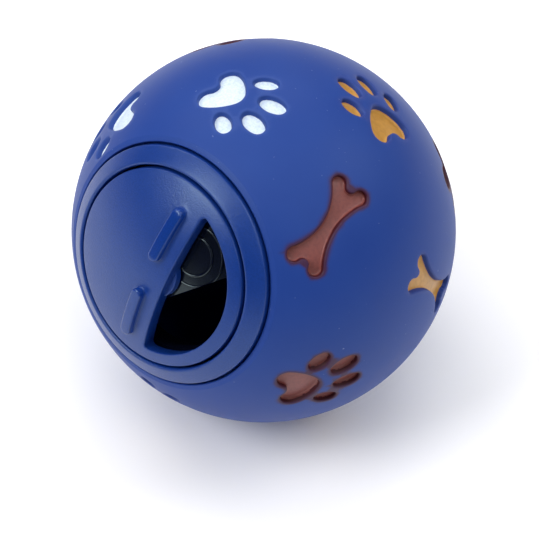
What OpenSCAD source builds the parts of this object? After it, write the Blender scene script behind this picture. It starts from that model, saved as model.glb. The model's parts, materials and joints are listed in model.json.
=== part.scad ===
// Treat dispensing ball: a hollow vinyl ball with a hard plastic port. A dial with a half-moon
// opening turns over a fixed gate plate with a second one, and sets how wide the way out is.
//
// Frame: the origin is the ball's centre, +Z is up, and the ball rests on the plane z = -ball_r.
// The port faces -Y and looks up by port_tilt. The port's pieces are drawn with the port's axis
// along +Z, with heights measured from the ball's centre, and in_port_frame() puts them in place.

/* [Ball] */
// Outside diameter of the ball
ball_d = 75; // [68:1:100]
// Thickness of the vinyl wall
ball_wall = 3.2; // [2.4:0.1:4.5]
// Depth of the moulded paws and bones
recess_depth = 1.3; // [0.6:0.1:1.8]
// Thickness of the paint on their floors
paint_t = 0.2; // [0.1:0.05:0.5]
// Gap between the paint's edge and the recess wall
paint_gap = 0.1; // [0.05:0.05:0.3]
// Upward tilt of the port as the ball rests, in degrees
port_tilt = 26; // [0:1:60]

/* [Port lip] */
// Gap round the collar's flange in its seat
seat_fit = 0.4; // [0.2:0.05:0.8]
// Depth of that seat below the ball's surface at its edge
seat_depth = 1.85; // [1.2:0.05:2.5]
// Gap between the collar's neck and the lip round it
lip_fit = 0.2; // [0.1:0.05:0.4]
// Thickness of the lip, front to back
lip_t = 3.6; // [2.6:0.1:4.4]
// Width of the thick ring round the lip's hole
lip_w = 3.4; // [2:0.1:4.5]
// Width of the bevel round the port
bevel_w = 1.2; // [0.6:0.1:2]
// Drop of that bevel at the edge of the seat
bevel_drop = 0.5; // [0.2:0.05:0.8]

/* [Collar] */
// Gap between the dial's rim and the collar's bore
rim_gap = 0.5; // [0.3:0.05:0.8]
// Thickness of the collar's neck, from its bore to the lip's fit
neck_wall = 2; // [1.5:0.1:3]
// How far the flange reaches out past the neck
flange_w = 1.4; // [1:0.1:2.2]
// Height of the ball's surface above the collar's face
collar_drop = 0.1; // [0:0.05:0.5]
// Rounding of the edges that show
edge_round = 0.45; // [0.2:0.05:0.8]

/* [Gate plate] */
// Gap between the gate plate's wall and the collar's bore
gate_fit = 0.25; // [0.1:0.05:0.4]
// Thickness of that wall
gate_wall = 1.6; // [1:0.1:2]
// Depth of the gate plate's face under the dial's
gate_under = 3.4; // [3:0.1:4.2]
// Thickness of the domed plate
gate_t = 1.8; // [1:0.1:2.4]
// Width of the gate plate's rim outside its half-moon opening
gate_rim = 3.25; // [2.4:0.05:6]
// Distance of the gate opening's straight edge from the axis
gate_chord = 5.6; // [5.5:0.1:7]
// Rounding of the gate opening's two corners
gate_corner_r = 1.2; // [0.4:0.1:2]
// Direction that the gate's opening faces round the axis, in degrees
gate_turn = -44; // [-180:1:180]
// Distance from the axis to the middle of the two raised rings
rings_out = 8.5; // [8:0.1:9]
// Direction of the rings' middle round the axis, in degrees
rings_turn = 46; // [-180:1:180]
// Radius of the inner ring
inner_ring_r = 3.7; // [2:0.1:4.5]
// Radius of the outer ring
outer_ring_r = 5.8; // [5:0.1:6.4]
// Radius of a ring's rounded section
ring_size = 0.3; // [0.2:0.05:0.5]
// Radius of the flat hub that the dial's boss runs on
hub_r = 5.5; // [5.3:0.1:5.6]
// Length of the hub's bore
hub_l = 3; // [2:0.1:4]
// How far the rear flange reaches out over the lip
grip_w = 1.3; // [0.8:0.1:2]
// Thickness of that flange
grip_t = 1.8; // [1.2:0.1:2.4]
// Height of the lead-in on its rear edge
lead_in = 1; // [0.4:0.1:1.1]

/* [Dial] */
// Outside diameter of the dial
dial_d = 37.8; // [34:0.1:40]
// Depth of the dial's rim under the ball's surface
dial_drop = 0.45; // [0.2:0.05:0.8]
// Rise of the dial's face from its rim to its middle, less than a part of the ball's own dome
dial_rise = 3.8; // [3:0.1:4.4]
// Thickness of the dial's plate
dial_t = 1.8; // [1.2:0.1:2.2]
// Width of the dial's rim outside its half-moon opening
dial_rim = 2.6; // [1.8:0.1:5]
// Distance of the dial opening's straight edge from the axis
dial_chord = 4.2; // [3.8:0.1:5]
// Rounding of the dial opening's two tips
dial_tip_r = 0.7; // [0.3:0.1:1.6]
// Thickness of the wall along the straight edge
chord_wall = 1.4; // [1:0.1:2]
// Direction that the dial's opening faces round the axis, in degrees
dial_turn = -6.3; // [-180:0.1:180]
// Gap between the dial and the fixed pieces under it
run_gap = 0.3; // [0.2:0.05:0.6]
// Distance of the grip bars' line from the axis, towards the opening
bar_shift = 0.3; // [0:0.1:1]
// Distance from the dial's middle to the near end of a grip bar
bar_start = 3.5; // [2:0.1:5]
// Length of a grip bar
bar_l = 11.3; // [6:0.1:12]
// Width of a grip bar
bar_w = 2.4; // [1.6:0.1:3]
// Height of a grip bar above the dial's face
bar_h = 1.6; // [1:0.1:2]
// Chamfer round the top of a grip bar
bar_chamfer = 0.4; // [0.2:0.1:0.8]
// Radius of the boss under the dial's centre
boss_r = 5.2; // [4.8:0.1:5.3]
// Thickness of the stiffening ribs under the dial
stiffener_t = 1.2; // [0.8:0.1:1.6]

/* [Pivot] */
// Radius of the spigot that turns in the gate's hub
spigot_r = 3; // [2.4:0.1:3.2]
// Running clearance round the spigot
spigot_gap = 0.08; // [0.05:0.01:0.1]
// Play of the washer behind the hub
washer_play = 0.15; // [0.1:0.05:0.3]
// Outside radius of the washer
washer_r = 4.6; // [4:0.1:6]
// Thickness of the washer
washer_t = 0.8; // [0.5:0.1:1.2]
// Radius of the screw's shank
shank_r = 1.45; // [1.2:0.05:1.6]
// Length of the shank from the washer up
shank_l = 5.2; // [3.5:0.1:5.4]
// Radius of the screw's pan head
head_r = 2.8; // [2.2:0.1:3.4]
// Height of the pan head
head_h = 2; // [1.4:0.1:2.4]
// Width of the cross recess in the head
cross_w = 0.8; // [0.5:0.1:1]
// Depth of the cross recess
cross_depth = 1.1; // [0.6:0.1:1.2]
// Clearance round the shank
shank_gap = 0.05; // [0.02:0.01:0.1]

/* [Paws and bones] */
// Width of a paw's heart-shaped pad
heart_w = 10.2; // [8:0.1:11]
// Length of that pad
heart_l = 7.7; // [6.5:0.1:8.4]
// Radius at the pad's tip
heart_tip_r = 2.7; // [2:0.1:3]
// Radius of the pad's two lobes
heart_lobe_r = 2.1; // [1.7:0.1:2.3]
// Radius of the pad's bulged sides
heart_side_r = 9; // [7.4:0.1:14]
// Radius of the notch between the lobes
heart_notch_r = 1.6; // [1.3:0.1:2.4]
// Length of an inner toe
inner_toe_l = 5.5; // [4.6:0.1:5.8]
// Length of an outer toe
outer_toe_l = 4.7; // [4:0.1:5]
// Radius at an inner toe's front end
inner_toe_front_r = 1.5; // [1.2:0.05:1.6]
// Radius at an inner toe's back end
inner_toe_back_r = 1.3; // [1:0.05:1.5]
// Radius of an inner toe's sides
inner_toe_side_r = 4.2; // [3.6:0.1:6]
// Radius at an outer toe's front end
outer_toe_front_r = 1.35; // [1.1:0.05:1.45]
// Radius at an outer toe's back end
outer_toe_back_r = 1.2; // [0.9:0.05:1.35]
// Radius of an outer toe's sides
outer_toe_side_r = 3.3; // [3:0.1:5]
// Length of a bone
bone_l = 18.2; // [14:0.1:19]
// Width of a bone across its knobs
bone_w = 7.6; // [6.6:0.1:8]
// Radius of a bone's knobs
knob_r = 1.4; // [1.3:0.05:1.6]
// Width of a bone's waist
waist_w = 2.6; // [2:0.1:3.2]
// Radius of the notch between two knobs
bone_notch_r = 1.1; // [1.1:0.05:1.6]

/* [Hidden] */
$fn = 96;

// Centre of an inner and an outer toe from the tip of the pad, and how far each leans outwards
inner_toe_x = 2.65;
inner_toe_y = 5.15;
inner_toe_lean = 10;
outer_toe_x = 6;
outer_toe_y = 0.65;
outer_toe_lean = 28;

// Snap bead on the gate plate's wall, its groove in the collar, and the two keys
bead_r = 0.45;
bead_gap = 0.1;
key_w = 3;
key_h = 1.4;
key_out = 0.8;
key_gap = 0.15;

// Overrun of every cut past the face that it opens
overrun = 0.5;
// How far a wedge or a line is drawn on past its last point, as a share of its length
draw_on_share = 1.5;

ball_r = ball_d / 2;

// Radii of the port's pieces, from the dial outwards
dial_r = dial_d / 2;
dial_moon_r = dial_r - dial_rim;
collar_bore_r = dial_r + rim_gap;
gate_r = collar_bore_r - gate_fit;
gate_moon_r = gate_r - gate_rim;
neck_r = collar_bore_r + neck_wall;
flange_r = neck_r + flange_w;
lip_r = neck_r + lip_fit;
grip_r = lip_r + grip_w;
seat_r = flange_r + seat_fit;

// Radii of the spheres about the ball's centre that the ball's and the collar's faces lie on
floor_s = ball_r - recess_depth;
inner_s = ball_r - ball_wall;
collar_s = ball_r - collar_drop;

// Radii of the flatter spheres that the dial's and the gate plate's faces lie on, and the height
// of their one centre, which is less than zero
rim_h = cap_h(ball_r - dial_drop, dial_r);
dial_s = (pow(dial_r, 2) + pow(dial_rise, 2)) / (2 * dial_rise);
dome_h = rim_h + dial_rise - dial_s;
gate_s = dial_s - gate_under;
skirt_s = gate_s + ring_size + run_gap;

// Heights along the port's axis
seat_h = cap_h(ball_r, seat_r) - seat_depth;
lip_back_h = seat_h - lip_t;
grip_back_h = lip_back_h - grip_t;
hub_top_h = dome_h + cap_h(gate_s, hub_r);
hub_back_h = hub_top_h - hub_l;
boss_h = hub_top_h + run_gap;
boss_top_h = dome_h + cap_h(dial_s - dial_t, boss_r);
spigot_end_h = hub_back_h - washer_play;
washer_back_h = spigot_end_h - washer_t;
shank_end_h = washer_back_h + shank_l;
bead_h = (dome_h + cap_h(gate_s, gate_r) + lip_back_h) / 2;

// Height at which the prisms that cut the motifs start, under the lowest point of a floor
motif_root = cap_h(floor_s, bone_l / 2) - overrun;

ball_blue = "#33509f";
hard_blue = "#3f5ba3";
steel = "#b9bcc2";
white_paint = "#f4f8ff";
brown_paint = "#7d4a46";
ochre_paint = "#c0893f";

// Angle of the seat's edge from the port's axis, and the one that the motifs' table was made with
port_angle = asin(seat_r / ball_r);
table_port_angle = 38.217;

// Every motif: its kind, its paint, its angle from the port's axis, its turn round that axis, and
// the direction of a paw's toes or of a bone's length, counted from the way the turn grows
// towards the port. The first row lies round the port, then the widest row, the far row, and one
// motif opposite the port.
MOTIFS = [
    ["bone", "brown", 57.8, 40.7, -50],
    ["paw", "white", 59.4, 94.7, 178],
    ["paw", "white", 54, 153.1, 0],
    ["bone", "brown", 57.4, 207.6, 8],
    ["paw", "ochre", 58, -88, 64],
    ["paw", "brown", 63.2, -18.2, -52],
    ["bone", "ochre", 97.5, 12.6, 58.6],
    ["paw", "ochre", 93, 69.9, -5],
    ["paw", "brown", 95, 128.6, 50],
    ["bone", "white", 96, 187, -58],
    ["paw", "white", 94, 246, 172],
    ["bone", "ochre", 95, 309, 62],
    ["paw", "brown", 127, 41.9, -120],
    ["bone", "white", 128, 102, 20],
    ["paw", "ochre", 126, 162, 60],
    ["bone", "ochre", 128, 222, -40],
    ["bone", "brown", 127, -78.4, 45],
    ["paw", "white", 127, -18, 115],
    ["paw", "brown", 179, 0, 30]
];

// Height above the ball's centre at which a sphere of radius s has the radius r round the axis
function cap_h(s, r) = sqrt(s * s - r * r);

// Point at the distance d from p towards q
function toward(p, q, d) = p + d * (q - p) / norm(q - p);

// Point at the distance a from p and b from q, on the left of the way from p to q
function meet(p, a, q, b) =
    let (way = q - p, d = norm(way), along = (a * a - b * b + d * d) / (2 * d), ahead = way / d)
    p + along * ahead + sqrt(a * a - along * along) * [-ahead[1], ahead[0]];

// Angle from the port's axis of a motif at the table's angle a: a wider port moves it on
function motif_tilt(a) =
    port_angle + (a - table_port_angle) * (180 - port_angle) / (180 - table_port_angle);

// Sphere of radius s about the centre of the dial's and the gate plate's domes
module dome(s) {
    translate([0, 0, dome_h])
        sphere(s);
}

// Puts what is drawn along +Z on the port's axis
module in_port_frame() {
    rotate([90 - port_tilt, 0, 0])
        children();
}

// Round wall between two radii and two heights
module tube(outer, inner, low, high) {
    translate([0, 0, low])
        difference() {
            cylinder(h = high - low, r = outer);
            translate([0, 0, -overrun])
                cylinder(h = high - low + 2 * overrun, r = inner);
        }
}

// Solid disc between two heights
module disc(radius, low, high) {
    translate([0, 0, low])
        cylinder(h = high - low, r = radius);
}

// What is taken off to round the edge where a wall at radius w meets a sphere of radius s. The
// piece lies outside the wall where side is 1 and inside it where side is -1.
module round_edge(w, s, side, e) {
    middle = [w + side * e, cap_h(s - e, w + side * e)];
    rotate_extrude()
        difference() {
            polygon([middle,
                     [w - side * overrun, middle[1]],
                     [w - side * overrun, cap_h(s, w) + overrun],
                     middle * (s + 2 * overrun) / (s - e)]);
            translate(middle)
                circle(e);
        }
}

// Half-moon with its straight edge at x = chord and its two corners rounded
module half_moon(outer, chord, corner) {
    corner_y = sqrt(pow(outer - corner, 2) - pow(chord + corner, 2));
    difference() {
        intersection() {
            circle(outer);
            translate([chord, -outer])
                square([outer, 2 * outer]);
        }
        for (side = [0, 1])
            mirror([0, side])
                difference() {
                    polygon([[chord + corner, corner_y],
                             [chord - overrun, corner_y],
                             [chord - overrun, outer],
                             toward([0, 0], [chord + corner, corner_y], outer + overrun)]);
                    translate([chord + corner, corner_y])
                        circle(corner, $fn = 48);
                }
    }
}

// Bulged side to the right of two circles: an arc of radius s that touches both from outside
module bulged_side(p, a, q, b, s) {
    centre = meet(q, s - b, p, s - a);
    intersection() {
        translate(centre)
            circle(s);
        polygon([centre, toward(centre, p, draw_on_share * s), toward(centre, q, draw_on_share * s)]);
        translate([0, -draw_on_share * s])
            square(2 * draw_on_share * s);
    }
}

// Toe of a paw about its middle, its front towards +Y, made larger all round by grow
module toe(l, front_r, back_r, side_r, grow) {
    front = [0, l / 2 - front_r];
    back = [0, back_r - l / 2];
    translate(front)
        circle(front_r + grow);
    translate(back)
        circle(back_r + grow);
    for (side = [0, 1])
        mirror([side, 0])
            bulged_side(front, front_r + grow, back, back_r + grow, side_r + grow);
}

// Heart-shaped pad of a paw, its tip at the origin and its lobes towards -Y
module heart(grow) {
    tip = [0, -heart_tip_r];
    lobe = [heart_w / 2 - heart_lobe_r, heart_lobe_r - heart_l];
    notch = [0, lobe[1] - sqrt(pow(heart_lobe_r + heart_notch_r, 2) - pow(lobe[0], 2))];
    touch = toward(lobe, notch, heart_lobe_r + grow);
    translate(tip)
        circle(heart_tip_r + grow);
    for (side = [0, 1])
        mirror([side, 0]) {
            translate(lobe)
                circle(heart_lobe_r + grow);
            bulged_side(tip, heart_tip_r + grow, lobe, heart_lobe_r + grow, heart_side_r + grow);
        }
    difference() {
        polygon([tip, lobe, touch, [-touch[0], touch[1]], [-lobe[0], lobe[1]]]);
        translate(notch)
            circle(heart_notch_r - grow);
    }
}

// Paw print with its toes towards +Y
module paw(grow) {
    heart(grow);
    for (side = [0, 1])
        mirror([side, 0]) {
            translate([inner_toe_x, inner_toe_y])
                rotate(-inner_toe_lean)
                    toe(inner_toe_l, inner_toe_front_r, inner_toe_back_r, inner_toe_side_r, grow);
            translate([outer_toe_x, outer_toe_y])
                rotate(-outer_toe_lean)
                    toe(outer_toe_l, outer_toe_front_r, outer_toe_back_r, outer_toe_side_r, grow);
        }
}

// Bone along X: four knobs joined by hollow arcs along its sides and round notches at its ends
module bone(grow) {
    knob = [bone_l / 2 - knob_r, bone_w / 2 - knob_r];
    waist = waist_w / 2;
    side_r = (pow(knob[0], 2) + pow(knob[1] - waist, 2) - pow(knob_r, 2))
             / (2 * (knob_r + knob[1] - waist));
    side = [0, waist + side_r];
    notch = [knob[0] + sqrt(pow(knob_r + bone_notch_r, 2) - pow(knob[1], 2)), 0];
    side_touch = toward(knob, side, knob_r + grow);
    notch_touch = toward(knob, notch, knob_r + grow);
    for (x = [0, 1])
        for (y = [0, 1])
            mirror([x, 0])
                mirror([0, y])
                    translate(knob)
                        circle(knob_r + grow);
    difference() {
        for (x = [0, 1])
            for (y = [0, 1])
                mirror([x, 0])
                    mirror([0, y])
                        polygon([[-overrun, -overrun], [notch_touch[0], -overrun], notch_touch, knob,
                                 side_touch, [-overrun, side_touch[1]]]);
        for (end = [0, 1])
            mirror([end, 0])
                translate(notch)
                    circle(bone_notch_r - grow);
        for (end = [0, 1])
            mirror([0, end])
                translate(side)
                    circle(side_r - grow, $fn = 192);
    }
}

// Prisms of the motifs of one kind and paint, or of all where they are "any"
module motif_prisms(kind, paint, grow) {
    for (m = MOTIFS)
        if ((kind == "any" || m[0] == kind) && (paint == "any" || m[1] == paint))
            rotate([0, motif_tilt(m[2]), m[3]])
                rotate([0, 0, m[0] == "bone" ? m[4] + 90 : m[4]])
                    translate([0, 0, motif_root])
                        linear_extrude(ball_r + overrun - motif_root)
                            if (m[0] == "paw")
                                paw(grow, $fn = 48);
                            else
                                bone(grow, $fn = 48);
}

// Paint on the floors of the recesses of one kind and colour
module paint_in(kind, paint) {
    in_port_frame()
        intersection() {
            motif_prisms(kind, paint, -paint_gap);
            difference() {
                sphere(floor_s + paint_t);
                sphere(floor_s);
            }
        }
}

// Hollow vinyl ball with its recessed motifs and the port's lip
module ball() {
    edge = [seat_r, cap_h(ball_r, seat_r) - bevel_drop];
    rim = [seat_r + bevel_w, cap_h(ball_r, seat_r + bevel_w)];
    color(ball_blue)
        in_port_frame()
            difference() {
                union() {
                    difference() {
                        union() {
                            difference() {
                                sphere(ball_r);
                                motif_prisms("any", "any", 0);
                            }
                            sphere(floor_s);
                        }
                        sphere(inner_s);
                    }
                    intersection() {
                        sphere(floor_s);
                        tube(lip_r + lip_w, lip_r, lip_back_h, seat_h);
                    }
                }
                disc(lip_r, lip_back_h - overrun, ball_r + overrun);
                disc(seat_r, seat_h, ball_r + overrun);
                rotate_extrude()
                    polygon([edge + (1 - draw_on_share) * (rim - edge),
                             edge + draw_on_share * (rim - edge),
                             [seat_r + draw_on_share * bevel_w, ball_r],
                             [seat_r + (1 - draw_on_share) * bevel_w, ball_r]]);
            }
}

// Collar: its flange lies in the ball's seat and its neck passes through the lip
module collar() {
    color(hard_blue)
        in_port_frame()
            difference() {
                intersection() {
                    sphere(collar_s);
                    union() {
                        tube(flange_r, collar_bore_r, seat_h, ball_r);
                        tube(neck_r, collar_bore_r, lip_back_h, ball_r);
                    }
                }
                round_edge(collar_bore_r, collar_s, 1, edge_round);
                round_edge(flange_r, collar_s, -1, edge_round);
                snap_bead(bead_r + bead_gap);
                keys(key_gap);
            }
}

// Bead that snaps the gate plate into the collar, or with a larger section its groove
module snap_bead(section_r) {
    rotate_extrude()
        translate([gate_r, bead_h])
            circle(section_r, $fn = 32);
}

// Two keys that keep the gate plate from turning in the collar, larger all round by grow
module keys(grow) {
    for (side = [0, 180])
        rotate([0, 0, side])
            translate([gate_r - gate_wall / 2, -key_w / 2 - grow, lip_back_h - overrun])
                cube([gate_wall / 2 + key_out + grow, key_w + 2 * grow, overrun + key_h + grow]);
}

// Gate plate: a domed plate with the fixed opening, on a wall with the flange behind the lip
module gate_plate() {
    color(hard_blue)
        in_port_frame()
            difference() {
                union() {
                    difference() {
                        gate_dome();
                        rotate([0, 0, gate_turn])
                            translate([0, 0, grip_back_h])
                                linear_extrude(ball_r - grip_back_h)
                                    half_moon(gate_moon_r, gate_chord, gate_corner_r);
                        disc(hub_r, hub_top_h, ball_r);
                    }
                    intersection() {
                        dome(gate_s);
                        tube(gate_r, gate_r - gate_wall, grip_back_h, ball_r);
                    }
                    disc(hub_r, hub_back_h, hub_top_h);
                    tube(grip_r, gate_r - gate_wall, grip_back_h + lead_in, lip_back_h);
                    translate([0, 0, grip_back_h])
                        difference() {
                            cylinder(h = lead_in, r1 = grip_r - lead_in, r2 = grip_r);
                            translate([0, 0, -overrun])
                                cylinder(h = lead_in + 2 * overrun, r = gate_r - gate_wall);
                        }
                    snap_bead(bead_r);
                    keys(0);
                }
                disc(spigot_r + spigot_gap, hub_back_h - overrun, hub_top_h + overrun);
            }
}

// Domed plate of the gate with its two raised rings
module gate_dome() {
    intersection() {
        difference() {
            dome(gate_s);
            dome(gate_s - gate_t);
        }
        disc(gate_r - gate_wall / 2, grip_back_h, ball_r);
    }
    translate([0, 0, dome_h])
        rotate([0, asin(rings_out / gate_s), rings_turn])
            for (r = [inner_ring_r, outer_ring_r])
                rotate_extrude()
                    translate([r, cap_h(gate_s, r)])
                        circle(ring_size, $fn = 32);
}

// Dial: a domed plate with a half-moon opening, walls under it, two grip bars, the boss that its
// middle runs on and the spigot
module dial() {
    color(hard_blue)
        in_port_frame()
            rotate([0, 0, dial_turn])
                difference() {
                    union() {
                        difference() {
                            intersection() {
                                dome(dial_s);
                                disc(dial_r, lip_back_h, ball_r);
                            }
                            dome(skirt_s);
                            dial_pocket();
                            translate([0, 0, dome_h])
                                round_edge(dial_r, dial_s, -1, edge_round);
                            translate([0, 0, lip_back_h])
                                linear_extrude(ball_r - lip_back_h)
                                    half_moon(dial_moon_r, dial_chord, dial_tip_r);
                        }
                        disc(boss_r, boss_h, boss_top_h);
                        disc(spigot_r, spigot_end_h, boss_h + overrun);
                        grip_bars();
                    }
                    disc(shank_r + shank_gap, spigot_end_h - overrun, shank_end_h + shank_gap);
                }
}

// Hollow under the solid half of the dial, with three stiffening ribs left in it
module dial_pocket() {
    difference() {
        intersection() {
            dome(dial_s - dial_t);
            disc(dial_moon_r, lip_back_h, ball_r);
            translate([-dial_r, -dial_r, 0])
                cube([dial_r + dial_chord - chord_wall, dial_d, ball_r]);
        }
        disc(boss_r, lip_back_h, ball_r);
        for (turn = [120, 180, 240])
            rotate([0, 0, turn])
                translate([0, -stiffener_t / 2, 0])
                    cube([dial_r, stiffener_t, ball_r]);
    }
}

// Two grip bars in line, beside the opening's straight edge
module grip_bars() {
    translate([bar_shift, 0, dome_h])
        for (turn = [90, -90])
            rotate([0, 0, turn])
                grip_bar();
}

// One grip bar from the axis towards +X, bent to the dial's dome, with a chamfered top
module grip_bar() {
    near = asin((bar_start + bar_w / 2) / dial_s);
    far = asin((bar_start + bar_l - bar_w / 2) / dial_s);
    foot = dial_s - dial_t / 2;
    shoulder = dial_s + bar_h - bar_chamfer;
    top_w = bar_w - 2 * bar_chamfer;
    rotate([90, 0, 0])
        rotate([0, 0, 90 - far])
            rotate_extrude(angle = far - near)
                polygon([[foot, -bar_w / 2], [shoulder, -bar_w / 2], [shoulder + bar_chamfer, -top_w / 2],
                         [shoulder + bar_chamfer, top_w / 2], [shoulder, bar_w / 2], [foot, bar_w / 2]]);
    for (turn = [near, far])
        rotate([0, turn, 0]) {
            disc(bar_w / 2, foot, shoulder, $fn = 48);
            translate([0, 0, shoulder])
                cylinder(h = bar_chamfer, r1 = bar_w / 2, r2 = top_w / 2, $fn = 48);
        }
}

// Screw that holds the dial from inside, driven up through the washer into the spigot
module dial_screw() {
    color(steel)
        in_port_frame()
            difference() {
                union() {
                    disc(shank_r, washer_back_h - overrun, shank_end_h);
                    disc(head_r, washer_back_h - head_h / 2, washer_back_h);
                    translate([0, 0, washer_back_h - head_h])
                        cylinder(h = head_h / 2, r1 = head_r - head_h / 2, r2 = head_r);
                }
                for (turn = [0, 90])
                    rotate([0, 0, turn])
                        translate([-head_r / 2, -cross_w / 2, washer_back_h - head_h - overrun])
                            cube([head_r, cross_w, cross_depth + overrun]);
            }
}

// Washer between the screw's head and the hub
module screw_washer() {
    color(steel)
        in_port_frame()
            tube(washer_r, shank_r + shank_gap, washer_back_h, spigot_end_h);
}

module white_paws() {
    color(white_paint)
        paint_in("paw", "white");
}

module white_bones() {
    color(white_paint)
        paint_in("bone", "white");
}

module brown_paws() {
    color(brown_paint)
        paint_in("paw", "brown");
}

module brown_bones() {
    color(brown_paint)
        paint_in("bone", "brown");
}

module ochre_paws() {
    color(ochre_paint)
        paint_in("paw", "ochre");
}

module ochre_bones() {
    color(ochre_paint)
        paint_in("bone", "ochre");
}

ball();
collar();
gate_plate();
dial();
dial_screw();
screw_washer();
white_paws();
white_bones();
brown_paws();
brown_bones();
ochre_paws();
ochre_bones();
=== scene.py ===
"""Treat dispensing ball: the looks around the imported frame.

A soft vinyl ball with moulded and painted paws and bones, and a hard plastic port whose dial turns
over a fixed gate plate. Lengths inside the classes are millimetres in the port's own frame: +Z is
the port's axis and the origin is the ball's centre. PortFrame turns them to the row's frame, in
metres, when a mesh is made.
"""

import json
import logging
import math
from dataclasses import dataclass, field
from enum import Enum

import bmesh
import bpy
import numpy as np
from mathutils import Matrix, Vector
from mathutils.geometry import delaunay_2d_cdt


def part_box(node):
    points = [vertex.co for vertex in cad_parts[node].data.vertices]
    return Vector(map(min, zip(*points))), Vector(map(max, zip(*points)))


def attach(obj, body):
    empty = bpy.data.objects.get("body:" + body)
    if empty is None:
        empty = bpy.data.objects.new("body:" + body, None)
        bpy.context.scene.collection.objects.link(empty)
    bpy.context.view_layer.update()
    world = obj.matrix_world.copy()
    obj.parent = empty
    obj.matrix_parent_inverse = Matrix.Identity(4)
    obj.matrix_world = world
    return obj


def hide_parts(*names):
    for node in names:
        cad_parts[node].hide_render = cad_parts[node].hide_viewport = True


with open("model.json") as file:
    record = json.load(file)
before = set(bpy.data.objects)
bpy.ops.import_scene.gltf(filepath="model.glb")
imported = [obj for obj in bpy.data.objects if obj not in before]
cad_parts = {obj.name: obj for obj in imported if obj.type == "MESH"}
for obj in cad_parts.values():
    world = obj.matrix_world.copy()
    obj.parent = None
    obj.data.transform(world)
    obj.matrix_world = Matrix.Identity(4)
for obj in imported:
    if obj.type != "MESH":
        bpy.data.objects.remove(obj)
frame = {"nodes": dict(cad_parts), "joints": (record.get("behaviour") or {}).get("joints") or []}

LOG = logging.getLogger("treat_ball")
MM = 0.001
TURN = 2 * math.pi
GOLDEN_ANGLE = math.pi * (3 - math.sqrt(5))
# Factors that mirror flat places in X
FLIP = np.array([-1.0, 1.0])
# Vertices of a mesh that are nearer to each other than this, in metres, are merged
MERGE_WITHIN = 1e-6
# The triangulation takes places nearer to each other than this, in millimetres, as one
SAME_PLACE = 1e-7
# Its kind that gives the triangles inside the closed rings
INSIDE_RINGS = 1
# Part of a whole number that a full coat of paint adds to a vertex's mark
FULL_COAT = 0.9
# How far the collar's face and the dial's rim lie under the ball's surface, in millimetres
COLLAR_DROP = 0.1
DIAL_DROP = 0.45

BALL_BODY = "ball_body"
DIAL_BODY = "dial_body"


class Paint(Enum):
    """Colours of paint in the moulded motifs."""

    WHITE = "white"
    BROWN = "brown"
    OCHRE = "ochre"


class Shape(Enum):
    """Kinds of moulded motif."""

    PAW = "paw"
    BONE = "bone"


def linear(hex_colour: str) -> tuple[float, float, float, float]:
    """Turns an sRGB hex colour to linear light.

    A part up to 0.04045 is divided by 12.92. A larger one has 0.055 added, is divided by 1.055 and
    is raised to the power 2.4.

    Args:
        hex_colour: six hex digits with a leading hash.

    Returns:
        Linear red, green, blue and an alpha of 1.
    """
    parts = np.array([int(hex_colour[i:i + 2], 16) for i in (1, 3, 5)]) / 255
    light = np.where(parts <= 0.04045, parts / 12.92, ((parts + 0.055) / 1.055) ** 2.4)
    return (*light.tolist(), 1.0)


class PortFrame:
    """The port's frame, read from the dial's joint axis."""

    def __init__(self, axis: list[float]) -> None:
        """Takes the joint's axis as the port's +Z, and the row's +X as its +X.

        Args:
            axis: the joint's axis in the row's frame.
        """
        self.z = np.array(axis, float) / np.linalg.norm(axis)
        self.x = np.array([1.0, 0.0, 0.0])
        self.y = np.cross(self.z, self.x)

    def to_row(self, points: np.ndarray) -> np.ndarray:
        """Gives port-frame millimetres as row-frame metres."""
        return points @ np.stack([self.x, self.y, self.z]) * MM


PORT = PortFrame(frame["joints"][0]["axis"])


def cap_height(sphere: float, radius: float) -> float:
    """Height at which a sphere about the origin has a given radius round the axis."""
    return math.sqrt(sphere * sphere - radius * radius)


def new_object(name: str, points: np.ndarray, faces: list, smooth_angle: float,
               values: dict[str, np.ndarray] | None = None) -> bpy.types.Object:
    """Makes a mesh object at the origin from port-frame points.

    Args:
        name: the object's name.
        points: array of n by 3 millimetres in the port's frame.
        faces: lists of vertex indices.
        smooth_angle: edges sharper than this, in degrees, stay sharp.
        values: numbers or linear colours to keep on the vertices, by attribute name.

    Returns:
        The linked object, its doubles merged and its faces pointing outwards.
    """
    mesh = bpy.data.meshes.new(name)
    mesh.from_pydata(PORT.to_row(points).tolist(), [], faces)
    for key, value in (values or {}).items():
        kind, socket = ("FLOAT", "value") if value.ndim == 1 else ("FLOAT_COLOR", "color")
        mesh.attributes.new(key, kind, "POINT").data.foreach_set(socket, value.ravel())
    work = bmesh.new()
    work.from_mesh(mesh)
    bmesh.ops.remove_doubles(work, verts=work.verts, dist=MERGE_WITHIN)
    bmesh.ops.recalc_face_normals(work, faces=work.faces)
    work.to_mesh(mesh)
    work.free()
    mesh.shade_smooth()
    mesh.set_sharp_from_angle(angle=math.radians(smooth_angle))
    made = bpy.data.objects.new(name, mesh)
    bpy.context.scene.collection.objects.link(made)
    return made


def grid_faces(rows: int, columns: int) -> np.ndarray:
    """Makes the quads between the rings of a grid, each ring closed round the back.

    Args:
        rows: number of rings.
        columns: points in a ring.

    Returns:
        The quads as indices of the grid's points, ring after ring.
    """
    row, column = np.meshgrid(np.arange(rows - 1), np.arange(columns), indexing="ij")
    a = row * columns + column
    b = row * columns + (column + 1) % columns
    return np.stack([a, b, b + columns, a + columns], -1).reshape(-1, 4)


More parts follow.
